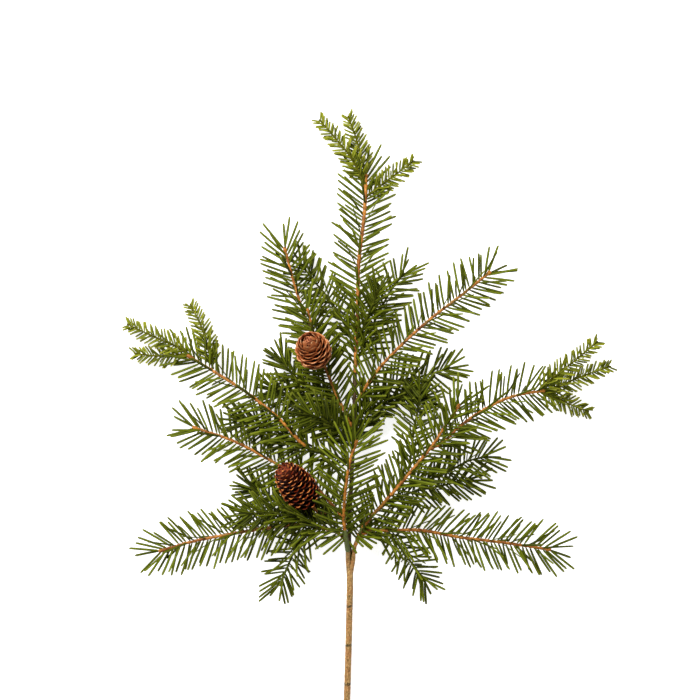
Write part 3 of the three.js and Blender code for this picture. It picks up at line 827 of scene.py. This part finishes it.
def stem_finish(name, shaded):
    """Tan bark with long fibres, specks and three dark seams, with painted shade above the fork if shaded.
    """
    finish = Finish(name, Specular_IOR_Level=0.35)
    fibres = finish.noise(0.5, detail=4, vector=finish.stretched(1, 0.12, 1))
    patches = finish.noise(7, detail=4)
    specks = finish.noise(1.1, detail=2, vector=finish.stretched(1, 0.7, 1))
    bark = finish.mix(fibres.above(0.5, 0.2), rgb(128, 92, 46), rgb(192, 150, 92))
    bark = finish.mix(patches.above(0.52, 0.12) * 0.6, bark, rgb(176, 118, 70))
    bark = finish.mix(specks.above(0.6, 0.04) * 0.7, bark, rgb(88, 78, 38))
    bark = finish.mix((1 - specks).above(0.62, 0.04) * 0.7, bark, rgb(222, 190, 124))
    parts = finish.tree.nodes.new("ShaderNodeSeparateXYZ")
    finish.tree.links.new(finish.place().socket, parts.inputs[0])
    height = Value(finish, parts.outputs[1])
    wander = (finish.noise(1.5) - 0.5) * (2.5 * MM)
    for seam in SEAMS:
        distance = abs(height + wander - (seam - MIDDLE.y) * MM)
        line = (1 - distance.above(1.1 * MM, 0.35 * MM)) * finish.noise(1.3).above(0.44, 0.1)
        bark = finish.mix(line * 0.9, bark, rgb(50, 50, 20))
    # Painted shade: the stem is darkened beyond the fork, where it shows in the cleft between the prongs
    if shaded:
        painted_fork_shade = height.above((FORK_SHADE_FROM - MIDDLE.y) * MM, 3 * MM)
        bark = finish.mix(painted_fork_shade * 0.85, bark, rgb(34, 26, 10))
    return finish.set(
        Base_Color=bark, Roughness=patches * 0.25 + 0.5, Normal=finish.bump(fibres + specks, 0.25))


def collar_finish():
    """The green skin where the front twig leaves the fork."""
    finish = Finish("fork_collar", Specular_IOR_Level=0.4)
    fibres = finish.noise(0.7, detail=3, vector=finish.stretched(1, 0.25, 1))
    return finish.set(
        Base_Color=finish.mix(fibres, rgb(66, 80, 30), rgb(112, 118, 58)), Roughness=fibres * 0.2 + 0.5,
        Normal=finish.bump(fibres, 0.2))


def cone_finish(name, dark, body, edge, glint, closed_share, rim_length, roughness, coat):
    """Cone scales: a dark foot, partly own colour and partly painted shade, a brown back, a paler rim,
    painted glints on it.
    """
    finish = Finish(name, Specular_IOR_Level=0.15, Coat_Weight=coat, Coat_Roughness=0.25)
    along = finish.blade()[1]
    tone = finish.tone()
    mottle = finish.noise(2.5, detail=4)
    closed = tone.above(0.8, 0.1)
    # Dark towards the foot of each scale: partly the scale's own colour, partly painted shade in the gaps
    # between scales
    brown = finish.mix((along + closed * 0.6).above(0.78, 0.16), dark, body)
    brown = finish.mix(closed * closed_share, brown, edge)
    brown = finish.mix(mottle.above(0.55, 0.14) * 0.45, brown, dark)
    rim = (along + tone * 0.05).above(0.975, 0.03)
    brown = finish.mix(rim * 0.85, brown, edge)
    # Painted highlights: bright glints in spots along the rims
    brown = finish.mix(rim * finish.noise(rim_length).above(0.55, 0.08), brown, glint)
    return finish.set(
        Base_Color=brown, Roughness=mottle * 0.2 + roughness,
        Normal=finish.bump(finish.noise(0.6) * 0.5 + mottle * 0.5, 0.3))


def core_finish(name, dark, light):
    """Flecked brown, for the dark heart of a cone and for the tight small scales at its tip."""
    finish = Finish(name, Specular_IOR_Level=0.1)
    grain = finish.noise(1.1, detail=2)
    return finish.set(
        Base_Color=finish.mix(grain.above(0.5, 0.14), dark, light), Roughness=grain * 0.2 + 0.6,
        Normal=finish.bump(grain, 0.6))


# The branch

def build_stem(bark, prong_bark, collar_skin):
    route = Route(STEM_ROUTE)

    def stem_radius(distance):
        past_fork = min(1, max(0, (distance / route.length - FORK_FROM) / (FORK_TO - FORK_FROM)))
        return STEM_BASE + (STEM_TIP - STEM_BASE) * past_fork ** 2 * (3 - 2 * past_fork)

    hand_in(model_rod("stem", route, stem_radius, LUMPS["stem"]), bark, "stem_bark", "main_stem")
    for name, (spray, foot, radius, first, last) in FORK_PARTS.items():
        *_, points = SPRAYS[spray]
        part = model_rod(
            name, Route(foot + points[1:]), lambda distance: radius - PRONG_TAPER * distance,
            LUMPS["prong"], first, last)
        hand_in(part, collar_skin if name == "fork_collar" else prong_bark, "stem_bark")


def build_spray(name, spray, needle, bark, inner_bark, green):
    base, tip, length, dress, points = spray
    route = Route(points)
    radius_at = twig_radius(route, base, tip, budded=True)
    painted_shade_to = PAINTED_SHADE_FEET.get(name, 0)
    # Painted shade: up to this distance the foot of the twig gets the dark green bark
    if painted_shade_to:
        foot = model_rod(name + "_foot", route, radius_at, LUMPS["twig"], 0, painted_shade_to)
        hand_in(foot, inner_bark, "twig_bark", name)
    twig = model_rod(name + "_twig", route, radius_at, LUMPS["twig"], painted_shade_to)
    # Twigs of full and combed sprays get the dark green bark, partly painted shade among their needles
    hand_in(twig, bark if dress == "open" else inner_bark, "twig_bark", name)
    first = FORK_CLEAR.get(name, base + BARE_FOOT)
    covered = COVERED_FEET.get(name, COVERED_FOOT)
    copies = needle_copies(
        route, length, dress, NEEDLE_WIDTH, taper=1, first=first, covered=covered)
    for root, tip in FORK_NEEDLES.get(name, []):
        reach = Vector(tip) - Vector(root)
        bow = reach.cross(UP) * dice.uniform(-HANGING_BOW, HANGING_BOW)
        tone = dice.uniform(*HANGING_TONES)
        copies.append(needle_copy(
            Vector(root), reach.normalized(), UP, reach.length, NEEDLE_WIDTH, bow, tone))
    hand_in(fused_copies(name + "_needles", needle, copies), green, "green_needles", name)


def build_fresh_shoot(name, points, needle, bark, green):
    route = Route(points)
    radius_at = twig_radius(route, FRESH_BASE, FRESH_TIP, budded=False)
    twig = model_rod(name + "_twig", route, radius_at, LUMPS["shoot"])
    hand_in(twig, bark, "fresh_needles", name)
    copies = needle_copies(
        route, FRESH_NEEDLE, "fresh", FRESH_WIDTH, FRESH_TAPER, first=FRESH_FIRST, covered=1)
    hand_in(fused_copies(name + "_needles", needle, copies), green, "fresh_needles", name)


def build_cone(name, cone, finish, bud_finish, heart_finish, bark):
    scale = model_scale(soft=cone.count < FINE_SCALES_FROM)
    base, tip = Vector(cone.stalk[-1]), Vector(cone.tip)
    route = Route([*cone.stalk, base.lerp(tip, STALK_TO)])
    stalk = model_rod(name + "_stalk", route, lambda _: STALK_RADIUS, LUMPS["stalk"])
    hand_in(stalk, bark, "twig_bark", name)
    heart = model_cone_core(
        name + "_heart", base, tip, cone.fullness, HEART_FILL, HEART_FROM, HEART_TO)
    hand_in(heart, heart_finish, cone.slot, name)
    bud = model_cone_core(
        name + "_bud", base, tip, cone.fullness, cone.bud_fill, BUD_FROM, cone.bud_to)
    hand_in(bud, bud_finish, cone.slot, name)
    scales = fused_copies(name + "_scales", scale, scale_copies(cone, base, tip))
    hand_in(scales, finish, cone.slot, name)


def build_branch():
    needle = model_needle()
    bark = twig_finish("twig_bark", rgb(138, 78, 18), rgb(204, 133, 48))
    # Dark green bark for inner twigs and shaded twig feet: partly the young bark's own colour, partly
    # painted shade
    inner_bark = green_twig_finish("inner_twig_bark", rgb(34, 42, 4), rgb(84, 88, 18))
    green = needle_finish(
        "green_needles", rgb(9, 20, 0), rgb(107, 119, 14), rgb(136, 140, 42), tip_share=0.4)
    fresh = needle_finish(
        "fresh_needles", rgb(46, 58, 3), rgb(142, 148, 28), rgb(170, 166, 68), tip_share=0.6)
    # The stem's bark comes twice: with painted shade above the fork for the stem, and plain for the prongs
    build_stem(
        stem_finish("stem_bark", shaded=True), stem_finish("prong_bark", shaded=False), collar_finish())
    for name, spray in SPRAYS.items():
        build_spray(name, spray, needle, bark, inner_bark, green)
    fresh_bark = green_twig_finish("fresh_twig", rgb(60, 66, 6), rgb(98, 94, 18))
    for name, points in FRESH_SHOOTS.items():
        build_fresh_shoot(name, points, needle, fresh_bark, fresh)
    # The heart of each cone is dark: partly its own brown, partly painted shade deep between the scales
    heart = core_finish("cone_heart", rgb(30, 9, 3), rgb(70, 28, 12))
    # For each cone: scale colours for the foot (partly painted shade), the back, the rim and painted
    # highlights
    finishes = {
        "pale_cone": (
            cone_finish(
                "pale_cone", rgb(52, 14, 3), rgb(176, 94, 46), rgb(204, 134, 84), rgb(240, 192, 142),
                closed_share=0.35, rim_length=1.6, roughness=0.5, coat=0),
            core_finish("pale_cone_bud", rgb(84, 32, 14), rgb(184, 114, 74))),
        "dark_cone": (
            cone_finish(
                "dark_cone", rgb(3, 1, 0), rgb(50, 11, 1), rgb(124, 38, 6), rgb(252, 160, 84),
                closed_share=0.06, rim_length=3, roughness=0.3, coat=0.05),
            core_finish("dark_cone_bud", rgb(20, 4, 1), rgb(140, 62, 34))),
    }
    for name, cone in CONES.items():
        build_cone(name, cone, *finishes[cone.slot], heart, bark)


# The floor, the light and the camera

PHOTO_WIDTH_MM = 560
PHOTO_CENTRE = Vector((0, 164, 0))
CAMERA_HEIGHT = 1.6
LOOK_HEIGHT = 0.025
FLOOR_SIZE = 8
FLOOR_DEPTH = 0.0003
FLOOR_GLOW = 0.8
WORLD_LIGHT = 0.2

# name: place, size and power
LAMPS = {"key": ((-0.7, 1.0, 1.5), 0.7, 50), "fill": ((1.3, -0.4, 1.5), 1.6, 7)}


def build_floor():
    deselect_all()
    bpy.ops.mesh.primitive_plane_add(size=FLOOR_SIZE, location=(0, 0, -FLOOR_DEPTH))
    floor = bpy.context.object
    floor.name = "floor"
    apply_all()
    finish = Finish("floor", Specular_IOR_Level=0.1, Roughness=0.9, Emission_Strength=FLOOR_GLOW)
    finish.shader.inputs["Emission Color"].default_value = (1, 1, 1, 1)
    grain = finish.noise(40)
    floor.data.materials.append(finish.set(
        Base_Color=finish.mix(grain, rgb(240, 240, 240), rgb(243, 243, 243))))


def build_light():
    world = bpy.data.worlds.new("studio")
    bpy.context.scene.world = world
    world.use_nodes = True
    sky = world.node_tree.nodes["Background"]
    sky.inputs["Color"].default_value = (1, 1, 1, 1)
    sky.inputs["Strength"].default_value = WORLD_LIGHT
    for name, (place, size, power) in LAMPS.items():
        lamp = bpy.data.lights.new(name, "AREA")
        lamp.energy = power
        lamp.size = size
        light = bpy.data.objects.new(name, lamp)
        bpy.context.collection.objects.link(light)
        light.location = place
        light.rotation_euler = (-Vector(place)).to_track_quat("-Z", "Y").to_euler()
    bpy.context.scene.view_settings.view_transform = "Standard"


def build_camera():
    camera = bpy.data.objects.new("camera", bpy.data.cameras.new("camera"))
    bpy.context.collection.objects.link(camera)
    camera.data.lens = camera.data.sensor_width * (CAMERA_HEIGHT - LOOK_HEIGHT) / (PHOTO_WIDTH_MM * MM)
    spot = (PHOTO_CENTRE - MIDDLE) * MM
    camera.location = (spot.x, spot.y, CAMERA_HEIGHT)
    bpy.context.scene.camera = camera


build_camera()
build_floor()
build_light()
build_branch()
